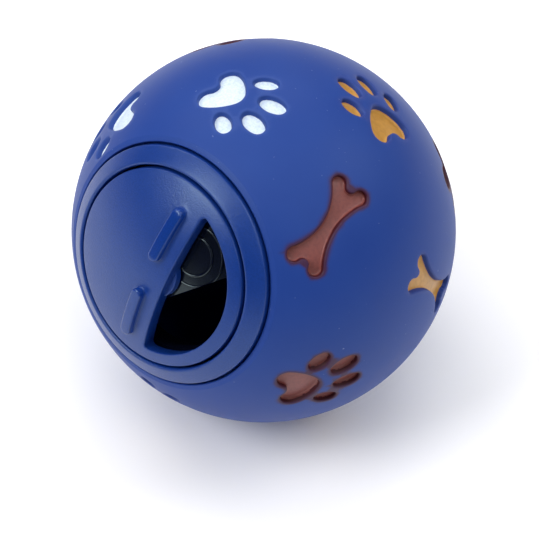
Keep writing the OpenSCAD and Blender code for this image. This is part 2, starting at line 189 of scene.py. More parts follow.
def revolve(profile: np.ndarray, steps: int) -> np.ndarray:
    """Carries a profile of radius and height round the axis.

    Each profile point (r, h) becomes the ring (r cos a, r sin a, h) for a over a full turn.

    Args:
        profile: array of n by 2.
        steps: points in a ring.

    Returns:
        Array of n * steps by 3, ring after ring.
    """
    angle = TURN * np.arange(steps) / steps
    ring = np.stack([np.cos(angle), np.sin(angle)], -1)
    flat = profile[:, None, :1] * ring[None]
    height = np.broadcast_to(profile[:, None, 1:], (len(profile), steps, 1))
    return np.concatenate([flat, height], -1).reshape(-1, 3)


def round_arc(middle: tuple[float, float], radius: float, start: float, end: float,
              count: int) -> np.ndarray:
    """Points of a flat arc about a middle, from one angle to another in degrees."""
    angle = np.radians(np.linspace(start, end, count))
    return np.array(middle) + radius * np.stack([np.cos(angle), np.sin(angle)], -1)


def quarter_round(radius: float, count: int) -> tuple[np.ndarray, np.ndarray]:
    """Works out a quarter round for angles a from 0 to a quarter turn.

    Args:
        radius: its radius.
        count: number of its points.

    Returns:
        The radius times 1 - sin a, and the radius times 1 - cos a.
    """
    a = np.linspace(0, math.pi / 2, count)
    return radius * (1 - np.sin(a)), radius * (1 - np.cos(a))


def spiral(radius: np.ndarray) -> np.ndarray:
    """Flat places at the given radii, each turned by the golden angle from the one before."""
    angle = GOLDEN_ANGLE * np.arange(len(radius))
    return np.stack([radius * np.cos(angle), radius * np.sin(angle)], -1)


@dataclass
class Outline:
    """Closed outline made of arcs and lines, kept as points with the normals that leave it."""

    points: list[np.ndarray] = field(default_factory=list)
    normals: list[np.ndarray] = field(default_factory=list)

    def arc(self, middle: np.ndarray, radius: float, toward: np.ndarray, until: np.ndarray,
            step: float, hollow: bool = False) -> "Outline":
        """Adds an arc about a middle, from the direction of one point to that of another.

        A full arc turns counter-clockwise and its normals leave the middle. A hollow one turns
        clockwise and its normals point at the middle.

        Args:
            middle: the arc's middle.
            radius: its radius.
            toward: vector from the middle in which the arc starts.
            until: vector from the middle in which it ends.
            step: spacing of its points.
            hollow: whether the outline bends inwards here.

        Returns:
            The outline, so that calls can follow each other.
        """
        start = math.atan2(toward[1], toward[0])
        end = math.atan2(until[1], until[0])
        way = -1.0 if hollow else 1.0
        span = (way * (end - start)) % TURN
        count = max(3, round(radius * span / step))
        angle = start + way * span * np.arange(count) / count
        out = np.stack([np.cos(angle), np.sin(angle)], -1)
        self.points.append(np.array(middle) + radius * out)
        self.normals.append(way * out)
        return self

    def line(self, start: list[float], end: list[float], step: float) -> "Outline":
        """Adds a straight stretch; the inside of the outline lies on its left.

        Args:
            start: its first point.
            end: the point that it leads to, which the next stretch adds.
            step: spacing of its points.

        Returns:
            The outline, so that calls can follow each other.
        """
        start, end = np.array(start, float), np.array(end, float)
        way = end - start
        length = np.linalg.norm(way)
        count = max(2, round(length / step))
        self.points.append(start + way * (np.arange(count) / count)[:, None])
        self.normals.append(np.tile([way[1] / length, -way[0] / length], (count, 1)))
        return self

    def ring(self, grow: float) -> np.ndarray:
        """The outline moved out by grow all round: each point plus grow times its normal."""
        return np.vstack(self.points) + grow * np.vstack(self.normals)

    def moved(self, angle: float, offset: tuple[float, float], mirror: bool = False) -> "Outline":
        """Turns the outline, then moves it, then mirrors it in X if asked.

        Args:
            angle: the turn in degrees.
            offset: the move.
            mirror: whether X changes its sign.

        Returns:
            A new outline.
        """
        c, s = math.cos(math.radians(angle)), math.sin(math.radians(angle))
        turn = np.array([[c, s], [-s, c]])
        points = np.vstack(self.points) @ turn + np.array(offset)
        normals = np.vstack(self.normals) @ turn
        if mirror:
            points, normals = (points * FLIP)[::-1], (normals * FLIP)[::-1]
        return Outline([points], [normals])

    def distance(self, flat: np.ndarray) -> np.ndarray:
        """Measures how far places lie from the outline, along the normal of its nearest point.

        Args:
            flat: n by 2 places.

        Returns:
            n distances, less than zero inside the outline.
        """
        points, normals = np.vstack(self.points), np.vstack(self.normals)
        way = flat[:, None] - points[None]
        near = np.argmin((way ** 2).sum(-1), axis=1)
        index = np.arange(len(flat))
        return (way[index, near] * normals[near]).sum(-1)


def meet(p: np.ndarray, a: float, q: np.ndarray, b: float) -> np.ndarray:
    """Finds where two circles meet.

    Args:
        p: middle of the first circle.
        a: its radius.
        q: middle of the second circle.
        b: its radius.

    Returns:
        The meeting point on the left of the way from p to q.
    """
    way = q - p
    d = np.linalg.norm(way)
    along = (a * a - b * b + d * d) / (2 * d)
    ahead = way / d
    return p + along * ahead + math.sqrt(a * a - along * along) * np.array([-ahead[1], ahead[0]])


@dataclass(frozen=True)
class Toe:
    """Egg-shaped toe of a paw: two end circles and two bulged sides."""

    length: float
    front_r: float
    back_r: float
    side_r: float
    place: tuple[float, float]
    lean: float

    def outlines(self, step: float) -> list[Outline]:
        """Draws the toe and its mirror image, at their places beside the pad's tip.

        Args:
            step: spacing of the points.

        Returns:
            The right toe and the left one.
        """
        front = np.array([0.0, self.length / 2 - self.front_r])
        back = np.array([0.0, self.back_r - self.length / 2])
        right = meet(back, self.side_r - self.back_r, front, self.side_r - self.front_r)
        left = right * FLIP
        toe = (Outline()
               .arc(right, self.side_r, back - right, front - right, step)
               .arc(front, self.front_r, front - right, front - left, step)
               .arc(left, self.side_r, front - left, back - left, step)
               .arc(back, self.back_r, back - left, back - right, step))
        return [toe.moved(-self.lean, self.place), toe.moved(-self.lean, self.place, mirror=True)]


@dataclass(frozen=True)
class Paw:
    """Paw print: a heart-shaped pad with its tip at the origin, and four toes towards +Y."""

    width: float = 10.2
    length: float = 7.7
    tip_r: float = 2.7
    lobe_r: float = 2.1
    side_r: float = 9.0
    notch_r: float = 1.6
    inner: Toe = Toe(length=5.5, front_r=1.5, back_r=1.3, side_r=4.2, place=(2.65, 5.15), lean=10)
    outer: Toe = Toe(length=4.7, front_r=1.35, back_r=1.2, side_r=3.3, place=(6.0, 0.65), lean=28)

    def outlines(self, step: float) -> list[Outline]:
        """Draws the pad as arcs that touch: sides, tip, two lobes and the notch between them.

        Args:
            step: spacing of the points.

        Returns:
            The pad's outline and those of the four toes.
        """
        tip = np.array([0.0, -self.tip_r])
        lobe = np.array([self.width / 2 - self.lobe_r, self.lobe_r - self.length])
        notch = np.array([0.0, lobe[1] - math.sqrt((self.lobe_r + self.notch_r) ** 2 - lobe[0] ** 2)])
        right = meet(lobe, self.side_r - self.lobe_r, tip, self.side_r - self.tip_r)
        left, other = right * FLIP, lobe * FLIP
        pad = (Outline()
               .arc(right, self.side_r, lobe - right, tip - right, step)
               .arc(tip, self.tip_r, tip - right, tip - left, step)
               .arc(left, self.side_r, tip - left, other - left, step)
               .arc(other, self.lobe_r, other - left, notch - other, step)
               .arc(notch, self.notch_r, other - notch, lobe - notch, step, hollow=True)
               .arc(lobe, self.lobe_r, notch - lobe, lobe - right, step))
        return [pad, *self.inner.outlines(step), *self.outer.outlines(step)]


@dataclass(frozen=True)
class Bone:
    """Bone along X: four knobs, hollow sides and a round notch at each end."""

    length: float = 18.2
    width: float = 7.6
    knob_r: float = 1.4
    waist: float = 2.6
    notch_r: float = 1.1

    def outlines(self, step: float) -> list[Outline]:
        """Draws the bone as a knob and a hollow in turn, each arc touching the next.

        Args:
            step: spacing of the points.

        Returns:
            The bone's one outline.
        """
        knob = np.array([self.length / 2 - self.knob_r, self.width / 2 - self.knob_r])
        rise = knob[1] - self.waist / 2
        side_r = (knob[0] ** 2 + rise ** 2 - self.knob_r ** 2) / (2 * (self.knob_r + rise))
        top = np.array([0.0, self.waist / 2 + side_r])
        end = np.array([knob[0] + math.sqrt((self.knob_r + self.notch_r) ** 2 - knob[1] ** 2), 0.0])
        corners = [knob, knob * [-1, 1], knob * [-1, -1], knob * [1, -1]]
        hollows = [(top, side_r), (-end, self.notch_r), (-top, side_r), (end, self.notch_r)]
        outline = Outline()
        for i, corner in enumerate(corners):
            before, (after, after_r) = hollows[i - 1][0], hollows[i]
            following = corners[(i + 1) % len(corners)]
            outline.arc(corner, self.knob_r, before - corner, after - corner, step)
            outline.arc(after, after_r, corner - after, following - after, step, hollow=True)
        return [outline]


@dataclass(frozen=True)
class Motif:
    """One moulded motif: its shape and paint, its angle from the port's axis, its turn round that
    axis and the direction of a paw's toes or a bone's length, in degrees."""

    shape: Shape
    paint: Paint
    tilt: float
    turn: float
    heading: float

    def axes(self) -> np.ndarray:
        """Turns the motif by its heading, tips it by its tilt and carries it round by its turn.

        Returns:
            Rows are the motif's own x, y and outward z in the port's frame.
        """
        extra = 90.0 if self.shape is Shape.BONE else 0.0
        matrix = (Matrix.Rotation(math.radians(self.turn), 3, "Z")
                  @ Matrix.Rotation(math.radians(self.tilt), 3, "Y")
                  @ Matrix.Rotation(math.radians(self.heading + extra), 3, "Z"))
        return np.array(matrix).T


MOTIFS = [
    Motif(Shape.BONE, Paint.BROWN, 57.8, 40.7, -50),
    Motif(Shape.PAW, Paint.WHITE, 59.4, 94.7, 178),
    Motif(Shape.PAW, Paint.WHITE, 54, 153.1, 0),
    Motif(Shape.BONE, Paint.BROWN, 57.4, 207.6, 8),
    Motif(Shape.PAW, Paint.OCHRE, 58, -88, 64),
    Motif(Shape.PAW, Paint.BROWN, 63.2, -18.2, -52),
    Motif(Shape.BONE, Paint.OCHRE, 97.5, 12.6, 58.6),
    Motif(Shape.PAW, Paint.OCHRE, 93, 69.9, -5),
    Motif(Shape.PAW, Paint.BROWN, 95, 128.6, 50),
    Motif(Shape.BONE, Paint.WHITE, 96, 187, -58),
    Motif(Shape.PAW, Paint.WHITE, 94, 246, 172),
    Motif(Shape.BONE, Paint.OCHRE, 95, 309, 62),
    Motif(Shape.PAW, Paint.BROWN, 127, 41.9, -120),
    Motif(Shape.BONE, Paint.WHITE, 128, 102, 20),
    Motif(Shape.PAW, Paint.OCHRE, 126, 162, 60),
    Motif(Shape.BONE, Paint.OCHRE, 128, 222, -40),
    Motif(Shape.BONE, Paint.BROWN, 127, -78.4, 45),
    Motif(Shape.PAW, Paint.WHITE, 127, -18, 115),
    Motif(Shape.PAW, Paint.BROWN, 179, 0, 30),
]


class Relief:
    """Surface with raised or sunk outlines, triangulated flat and lifted to its real places.

    Every vertex has a flat place, where the triangulation runs, and a solid place, where it goes.
    Rings keep their edges, so a wall's rings stay rings.
    """

    def __init__(self) -> None:
        """Starts with no vertices."""
        self.flat: list[np.ndarray] = []
        self.solid: list[np.ndarray] = []
        self.edges: list[np.ndarray] = []
        self.marks: list[np.ndarray] = []
        self.count = 0

    def add(self, flat: np.ndarray, solid: np.ndarray, mark: np.ndarray | float, ring: bool) -> None:
        """Adds points, joined to a closed ring if asked.

        Args:
            flat: n by 2 places for the triangulation.
            solid: n by 3 places in the port's frame.
            mark: a value kept with each vertex, such as how much paint lies on it.
            ring: whether the points are a closed ring whose edges are kept.
        """
        n = len(flat)
        self.flat.append(flat)
        self.solid.append(solid)
        self.marks.append(np.broadcast_to(np.asarray(mark, float), (n,)))
        if ring:
            index = self.count + np.arange(n)
            self.edges.append(np.stack([index, np.roll(index, -1)], -1))
        self.count += n

    def build(self) -> tuple[np.ndarray, np.ndarray, np.ndarray]:
        """Triangulates all that lies inside the outermost ring.

        Returns:
            The solid points, the triangles and the marks.
        """
        flat, edges = np.vstack(self.flat).tolist(), np.vstack(self.edges).tolist()
        points, _, faces, origin, _, _ = delaunay_2d_cdt(flat, edges, [], INSIDE_RINGS, SAME_PLACE,
                                                         True)
        first = np.array([o[0] for o in origin])
        LOG.info("relief of %d points and %d triangles", len(points), len(faces))
        return np.vstack(self.solid)[first], np.array(faces), np.concatenate(self.marks)[first]


@dataclass(frozen=True)
class Recess:
    """Profile of a moulded recess: a rounded lip, a drafted wall and a rounded foot."""

    depth: float = 1.3
    lip: float = 0.42
    foot: float = 0.45
    draft: float = 0.12
    rings: int = 5

    def profile(self) -> np.ndarray:
        """Works out pairs of offset from the outline and drop below the surface.

        The lip is a quarter round from offset lip and drop 0 to offset 0 and drop lip. The wall
        leans in by the draft. The foot is a quarter round on to the floor.

        Returns:
            The pairs from outside to the floor, as many for the lip as for the foot.
        """
        offset, drop = quarter_round(self.lip, self.rings)
        rise, inward = quarter_round(self.foot, self.rings)
        return np.vstack([np.stack([offset, drop], -1),
                          np.stack([-self.draft - inward, self.depth - rise], -1)])


@dataclass
class BallSkin:
    """The vinyl ball: its outer skin with the motifs, the port's seat and lip, and its inside."""

    radius: float
    wall: float = 3.2
    recess: Recess = Recess()
    seat_r: float = 23.2
    seat_depth: float = 1.85
    lip_r: float = 21.6
    lip_t: float = 3.6
    lip_w: float = 3.4
    bevel_w: float = 1.2
    bevel_drop: float = 0.5
    # The bevel's flat, as shares of the way down it
    bevel_from: float = 0.12
    bevel_span: float = 0.68
    # Rounding of the seat's edge and of the lip, and how far down the edge's lies, as a share of it
    soft: float = 0.3
    tuck: float = 0.9
    # Height and width of the small bevel in the seat's corner
    corner_up: float = 0.15
    corner_in: float = 0.12
    # The skin's last ring lies this far past the bevel, and the port's second one this far inside it
    rim_past: float = 0.05
    rim_step: float = 0.03
    # No motif reaches further than this from its middle
    motif_reach: float = 13.0
    # Spacing of the scattered points, and as a share of it their distance from the rim
    spacing: float = 1.1
    rim_clear: float = 0.7
    # Distance of those points from a recess, inside the edge of its floor and outside its lip
    clear_inside: float = 0.35
    clear_outside: float = 0.4
    # Paint at the lip of a recess, and how far past the lip the overspray goes
    halo: float = 0.3
    overspray: float = 0.65
    step: float = 0.3
    round_steps: int = 320
    inside_steps: int = 60

    @property
    def rim_r(self) -> float:
        """Radius of the ring where the skin with the motifs ends and the port begins."""
        return self.seat_r + self.bevel_w + self.rim_past

    def stereographic(self, direction: np.ndarray) -> np.ndarray:
        """Flat map of directions, seen from the port: twice the radius times xy over 1 - z."""
        return 2 * self.radius * direction[:, :2] / (1 - direction[:, 2:])

    def lifted(self, motif: Motif, flat: np.ndarray, drop: np.ndarray | float) -> np.ndarray:
        """Lifts places in a motif's own plane to the sphere that lies lower by a drop.

        Args:
            motif: the motif.
            flat: n by 2 places in its own x and y.
            drop: how far the sphere lies under the ball's surface.

        Returns:
            n by 3 points in the port's frame.
        """
        sphere = self.radius - drop
        height = np.sqrt(sphere ** 2 - (flat ** 2).sum(-1, keepdims=True))
        return np.concatenate([flat, height], -1) @ motif.axes()

    def skin(self) -> tuple[np.ndarray, np.ndarray, np.ndarray]:
        """Lays the outer skin from the port's rim to the far pole, with every motif sunk in it.

        Returns:
            The points, the triangles and the marks that paint reads.
        """
        relief = Relief()
        rim = revolve(np.array([[self.rim_r, cap_height(self.radius, self.rim_r)]]), self.round_steps)
        relief.add(self.stereographic(rim / self.radius), rim, 0.0, True)
        dots = self.scattered()
        keep = np.ones(len(dots), bool)
        mist = np.zeros(len(dots))
        profile = self.recess.profile()
        floor_edge = profile[-1, 0] - self.clear_inside
        lip_edge = self.recess.lip + self.clear_outside
        for number, motif in enumerate(MOTIFS, 1):
            local = dots @ motif.axes().T
            near = np.flatnonzero((local[:, 2] > 0)
                                  & (np.hypot(local[:, 0], local[:, 1]) < self.motif_reach))
            floor = np.zeros(len(near), bool)
            for outline in SHAPES[motif.shape].outlines(self.step):
                for offset, drop in profile:
                    flat = outline.ring(offset)
                    on_top = self.lifted(motif, flat, 0.0) / self.radius
                    amount = self.halo + (1 - self.halo) * drop / self.recess.depth
                    relief.add(self.stereographic(on_top), self.lifted(motif, flat, drop),
                               number + FULL_COAT * amount, True)
                gap = outline.distance(local[near][:, :2])
                floor |= gap < floor_edge
                keep[near[(gap > floor_edge) & (gap < lip_edge)]] = False
                fade = self.halo * (1 - (gap - self.recess.lip) / self.overspray)
                misty = np.where(fade > 0, number + FULL_COAT * fade, 0)
                mist[near] = np.maximum(mist[near], misty)
            keep[near[floor]] = False
            sunk = local[near[floor]]
            relief.add(self.stereographic(dots[near[floor]] / self.radius),
                       self.lifted(motif, sunk[:, :2], self.recess.depth), number + FULL_COAT, False)
        relief.add(self.stereographic(dots[keep] / self.radius), dots[keep], mist[keep], False)
        return relief.build()

    def scattered(self) -> np.ndarray:
        """Scatters points evenly on the sphere outside the port, along a golden-angle spiral.

        Returns:
            n by 3 points, one for each square of the spacing.
        """
        clear_r = self.rim_r + self.spacing * self.rim_clear
        lowest, highest = -1.0, cap_height(self.radius, clear_r) / self.radius
        area = TURN * self.radius ** 2 * (highest - lowest)
        count = int(area / self.spacing ** 2)
        z = lowest + (highest - lowest) * (np.arange(count) + 0.5) / count
        return self.radius * np.column_stack([spiral(np.sqrt(1 - z * z)), z])

    def port_profile(self) -> np.ndarray:
        """Follows the port: over the bevel, the seat and the lip, and round the inside.

        Returns:
            Pairs of radius and height, from the skin's rim to the far pole.
        """
        bevel_r = self.seat_r + self.bevel_w
        bevel_top = np.array([bevel_r, cap_height(self.radius, bevel_r)])
        edge = np.array([self.seat_r, cap_height(self.radius, self.seat_r) - self.bevel_drop])
        seat = cap_height(self.radius, self.seat_r) - self.seat_depth
        back = seat - self.lip_t
        inner = self.radius - self.wall
        along = np.linspace(0, 1, 5)[:, None]
        rim = np.array([self.rim_r, self.rim_r - self.rim_step])
        start = math.asin((self.lip_r + self.lip_w) / inner)
        angle = np.linspace(start, math.pi, self.inside_steps)[:-1]
        soft = self.soft
        rows = [
            np.stack([rim, np.sqrt(self.radius ** 2 - rim ** 2)], -1),
            bevel_top + (edge - bevel_top) * (self.bevel_from + self.bevel_span * along),
            round_arc((self.seat_r + soft, edge[1] - soft * self.tuck), soft, 100, 180, 6),
            [[self.seat_r, seat + self.corner_up], [self.seat_r - self.corner_in, seat],
             [self.lip_r + soft, seat]],
            round_arc((self.lip_r + soft, seat - soft), soft, 90, 180, 5)[1:],
            round_arc((self.lip_r + soft, back + soft), soft, 180, 270, 5),
            inner * np.stack([np.sin(angle), np.cos(angle)], -1),
        ]
        return np.vstack([np.array(row, float).reshape(-1, 2) for row in rows])

    def build(self) -> bpy.types.Object:
        """Joins the skin, the port and the inside to one closed mesh.

        Returns:
            The ball, with a paint amount and a paint colour kept on its vertices.
        """
        solid, faces, marks = self.skin()
        profile = self.port_profile()
        port = revolve(profile, self.round_steps)
        start = len(solid)
        quads = grid_faces(len(profile), self.round_steps) + start
        pole = start + len(port)
        last = pole - self.round_steps + np.arange(self.round_steps)
        cap = np.stack([last, np.roll(last, -1), np.full(self.round_steps, pole)], -1)
        points = np.vstack([solid, port, [[0, 0, self.wall - self.radius]]])
        return new_object("vinyl_ball", points, [*faces.tolist(), *quads.tolist(), *cap.tolist()], 60,
                          self.paint(marks, len(points)))

    @staticmethod
    def paint(marks: np.ndarray, count: int) -> dict[str, np.ndarray]:
        """Works out how much paint reaches each vertex, and its colour where it is thin.

        Args:
            marks: 0, or the number of the motif plus FULL_COAT times the amount: 1 on the floor,
                halo at the lip, and less over the overspray round it.
            count: number of vertices of the whole ball; those after the marks have no paint.

        Returns:
            Values for the attributes paint_amount and paint_tint.
        """
        number = np.floor(marks).astype(int)
        tints = np.array([(*linear(Vinyl.colour)[:3], 0.0)]
                         + [(*linear(PAINTS[m.paint].thin)[:3], PAINTS[m.paint].mist) for m in MOTIFS])
        amount, tint = np.zeros(count), np.zeros((count, 4))
        amount[:len(marks)] = np.where(number > 0, (marks - number) / FULL_COAT, 0)
        tint[:len(marks)] = tints[number]
        return {"paint_amount": amount, "paint_tint": tint}


@dataclass(frozen=True)
class Dust:
    """Dust specks: their spacing and radius in millimetres, and how pale they are."""

    cell_mm: float
    size_mm: float
    pale: float


@dataclass(frozen=True)
class Vinyl:
    """Soft PVC, slush-moulded: satin, slightly uneven, with dust that its charge draws on.

    The slow ripples of the moulding soften its reflections, and its fine grain keeps them dull. The
    grain is drawn coarser than the real one, so that it shows.
    """

    colour: str = "#143688"
    pale: str = "#1a3e90"
    ior: float = 1.53
    gloss: float = 0.32
    gloss_tint: str = "#e2fbff"
    rough: float = 0.52
    rough_swing: float = 0.05
    ripple_mm: float = 9.0
    ripple_deep_mm: float = 0.4
    ripple_bump: float = 0.1
    grain_mm: float = 0.5
    grain_deep_mm: float = 0.05
    grain_bump: float = 0.08
    # Parts that the grain and the mist have in a wall's paint, and the sums where it starts and ends
    speckle: float = 0.35
    creep: float = 0.62
    bare: float = 1.0
    coated: float = 1.2
    dust_colour: str = "#a4b2d8"
    # How far the grain shakes the specks out of round, as a share of the way to its own colour
    dust_shake: float = 0.0006
    dust: tuple[Dust, ...] = (Dust(2.6, 0.16, 0.2), Dust(5.0, 0.22, 0.45), Dust(17.0, 0.4, 0.8))


@dataclass(frozen=True)
class HardPlastic:
    """Polypropylene, injection-moulded in a spark-eroded tool: satin with a fine even grain.

    The grain breaks the highlights into a soft sparkle. It is drawn coarser than the real one, so
    that it shows. The grip bars come from polished slots of the tool, so they are smooth and
    darker. A piece without the polish attribute is grained all over.
    """

    colour: str = "#113583"
    ior: float = 1.49
    gloss: float = 0.5
    gloss_tint: str = "#e2fbff"
    rough: float = 0.32
    rough_swing: float = 0.06
    polished: float = 0.12
    grain_mm: float = 0.3
    grain_deep_mm: float = 0.08
    bump: float = 0.6
    # Tones of the grain's low and high spots, and the spacing of the wear in the gloss
    dark: float = 0.86
    light: float = 1.12
    wear_mm: float = 6


@dataclass(frozen=True)
class Zinc:
    """Zinc-plated steel of a small self-tapping screw: bright, with a mottle in its gloss."""

    colour: str = "#b9bcc4"
    rough: float = 0.32
    rough_swing: float = 0.1
    mottle_mm: float = 0.8


@dataclass(frozen=True)
class PaintFilm:
    """A coat of vinyl paint, sprayed through a mask on to the floor of a recess.

    It dries to a soft mottle with a faintly uneven face. The coat is thin on the walls, and a mist
    of it settles on the skin round the mask. A paint with little mist stays on the floor, so the
    film starts lower on the wall by some profile points.
    """

    film: str
    fleck: str
    thin: str
    mist: float
    rough: float
    lower: int
    mottle_mm: float
    mottle_deep_mm: float = 0.06
    mottle_bump: float = 0.15
    flecks: float = 0.6
    ior: float = 1.5


PAINTS = {
    Paint.WHITE: PaintFilm(film="#e0eef6", fleck="#b4c9ee", thin="#8fa6e0", mist=0.05, rough=0.45,
                           lower=1, mottle_mm=0.45),
    Paint.BROWN: PaintFilm(film="#84453f", fleck="#6a3434", thin="#430f1b", mist=0.85, rough=0.42,
                           lower=0, mottle_mm=0.6),
    Paint.OCHRE: PaintFilm(film="#c8913c", fleck="#a8762c", thin="#8d6a34", mist=0.05, rough=0.38,
                           lower=1, mottle_mm=1.0),
}
SHAPES = {Shape.PAW: Paw(), Shape.BONE: Bone()}


@dataclass
class PaintFilms:
    """The paint on the floors, one object for each shape and colour."""

    skin: BallSkin
    thick: float = 0.12
    sunk: float = 0.1
    # Two sine waves in the film's edge: size in mm, waves round an outline and shift by the seed
    waves: tuple[tuple[float, int, int], ...] = ((0.03, 3, 1), (0.02, 11, 2))
    # Part of the waver that is left at the floor, and spacing of the points there
    calm: float = 0.2
    floor_step: float = 0.9

    def build(self, shape: Shape, paint: Paint) -> bpy.types.Object:
        """Lays a closed film in every recess of one shape and colour.

        The film's upper face follows the recess's foot from part way up the wall and lies a little
        above the floor; its lower face lies in the vinyl.

        Args:
            shape: the motif's shape.
            paint: its colour.

        Returns:
            The film object.
        """
        points: list[np.ndarray] = []
        faces: list[list[int]] = []
        count = 0
        for seed, motif in enumerate(MOTIFS):
            if motif.shape is not shape or motif.paint is not paint:
                continue
            for outline in SHAPES[shape].outlines(self.skin.step):
                solid, triangles = self.one(motif, outline, seed)
                points.append(solid)
                faces.extend((triangles + count).tolist())
                count += len(solid)
        return new_object(f"{paint.value}_{shape.value}_paint", np.vstack(points), faces, 50)

    def one(self, motif: Motif, outline: Outline, seed: int) -> tuple[np.ndarray, np.ndarray]:
        """Makes a closed film: the same triangles above and below, and a side between them.

        Args:
            motif: the motif that the outline belongs to.
            outline: the outline that is filled.
            seed: number that shifts the waver of the film's edge.

        Returns:
            The points and the triangles.
        """
        recess = self.skin.recess
        profile = recess.profile()[recess.rings + PAINTS[motif.paint].lower:]
        edge = len(outline.ring(0))
        around = TURN * np.arange(edge) / edge
        waver = sum(size * np.sin(times * around + shift * seed) for size, times, shift in self.waves)
        relief = Relief()
        normals = np.vstack(outline.normals)
        for offset, drop in profile:
            share = (recess.depth - drop) / recess.foot
            flat = outline.ring(offset) + normals * (waver * (self.calm + share))[:, None]
            relief.add(flat, np.column_stack([flat, np.full(edge, drop)]), 0.0, True)
        inner = outline.ring(profile[-1, 0])
        low, high = inner.min(0), inner.max(0)
        gx, gy = np.meshgrid(np.arange(low[0], high[0], self.floor_step),
                             np.arange(low[1], high[1], self.floor_step))
        grid = np.stack([gx.ravel(), gy.ravel()], -1)
        grid = grid[outline.distance(grid) < profile[-1, 0] - self.skin.clear_inside]
        if len(grid):
            relief.add(grid, np.column_stack([grid, np.full(len(grid), recess.depth)]), 0.0, False)
        rough, triangles, _ = relief.build()
        upper = self.skin.lifted(motif, rough[:, :2], rough[:, 2:] - self.thick / 2)
        lower = self.skin.lifted(motif, rough[:, :2], rough[:, 2:] + self.sunk)
        n = len(rough)
        a, b = self.border(triangles).T
        return (np.vstack([upper, lower]),
                np.vstack([triangles, triangles[:, ::-1] + n, np.stack([b, a, a + n], -1),
                           np.stack([b, a + n, b + n], -1)]))

    @staticmethod
    def border(triangles: np.ndarray) -> np.ndarray:
        """Finds the edges that belong to one triangle only.

        Args:
            triangles: n by 3 indices.

        Returns:
            Those edges as pairs of indices, in their triangle's direction.
        """
        edges = np.vstack([triangles[:, [0, 1]], triangles[:, [1, 2]], triangles[:, [2, 0]]])
        key = np.sort(edges, axis=1)
        _, index, times = np.unique(key, axis=0, return_index=True, return_counts=True)
        return edges[index[times == 1]]


@dataclass
class Collar:
    """Hard plastic ring in the ball's seat."""

    face: float
    flange_r: float = 22.8
    neck_r: float = 21.4
    bore_r: float = 19.4
    # Heights of the seat and of the lip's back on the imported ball, whose radius is 37.5
    seat_h: float = 27.612
    back_h: float = 24.012
    # Roundings of the edges that show and of the hidden one
    edge: float = 0.45
    hidden_edge: float = 0.15
    steps: int = 288

    def profile(self) -> np.ndarray:
        """Draws the section, with the bore and the outside upright and the face on a sphere.

        Returns:
            Pairs of radius and height round the section.
        """
        inner_r, outer_r = self.bore_r + self.edge, self.flange_r - self.edge
        inner = (inner_r, cap_height(self.face - self.edge, inner_r))
        outer = (outer_r, cap_height(self.face - self.edge, outer_r))
        inner_lean = math.degrees(math.atan2(inner[1], inner[0]))
        outer_lean = math.degrees(math.atan2(outer[1], outer[0]))
        small = self.hidden_edge
        return np.vstack([
            round_arc(inner, self.edge, 180, inner_lean, 7),
            round_arc((0, 0), self.face, inner_lean, outer_lean, 9)[1:-1],
            round_arc(outer, self.edge, outer_lean, 0, 5),
            round_arc((self.flange_r - small, self.seat_h + small), small, 0, -90, 3),
            [[self.neck_r, self.seat_h], [self.neck_r, self.back_h], [self.bore_r, self.back_h]],
        ])

    def build(self) -> bpy.types.Object:
        """Revolves the section to a closed ring.

        Returns:
            The collar.
        """
        profile = self.profile()
        points = revolve(np.vstack([profile, profile[:1]]), self.steps)
        return new_object("port_collar", points, grid_faces(len(profile) + 1, self.steps).tolist(), 40)


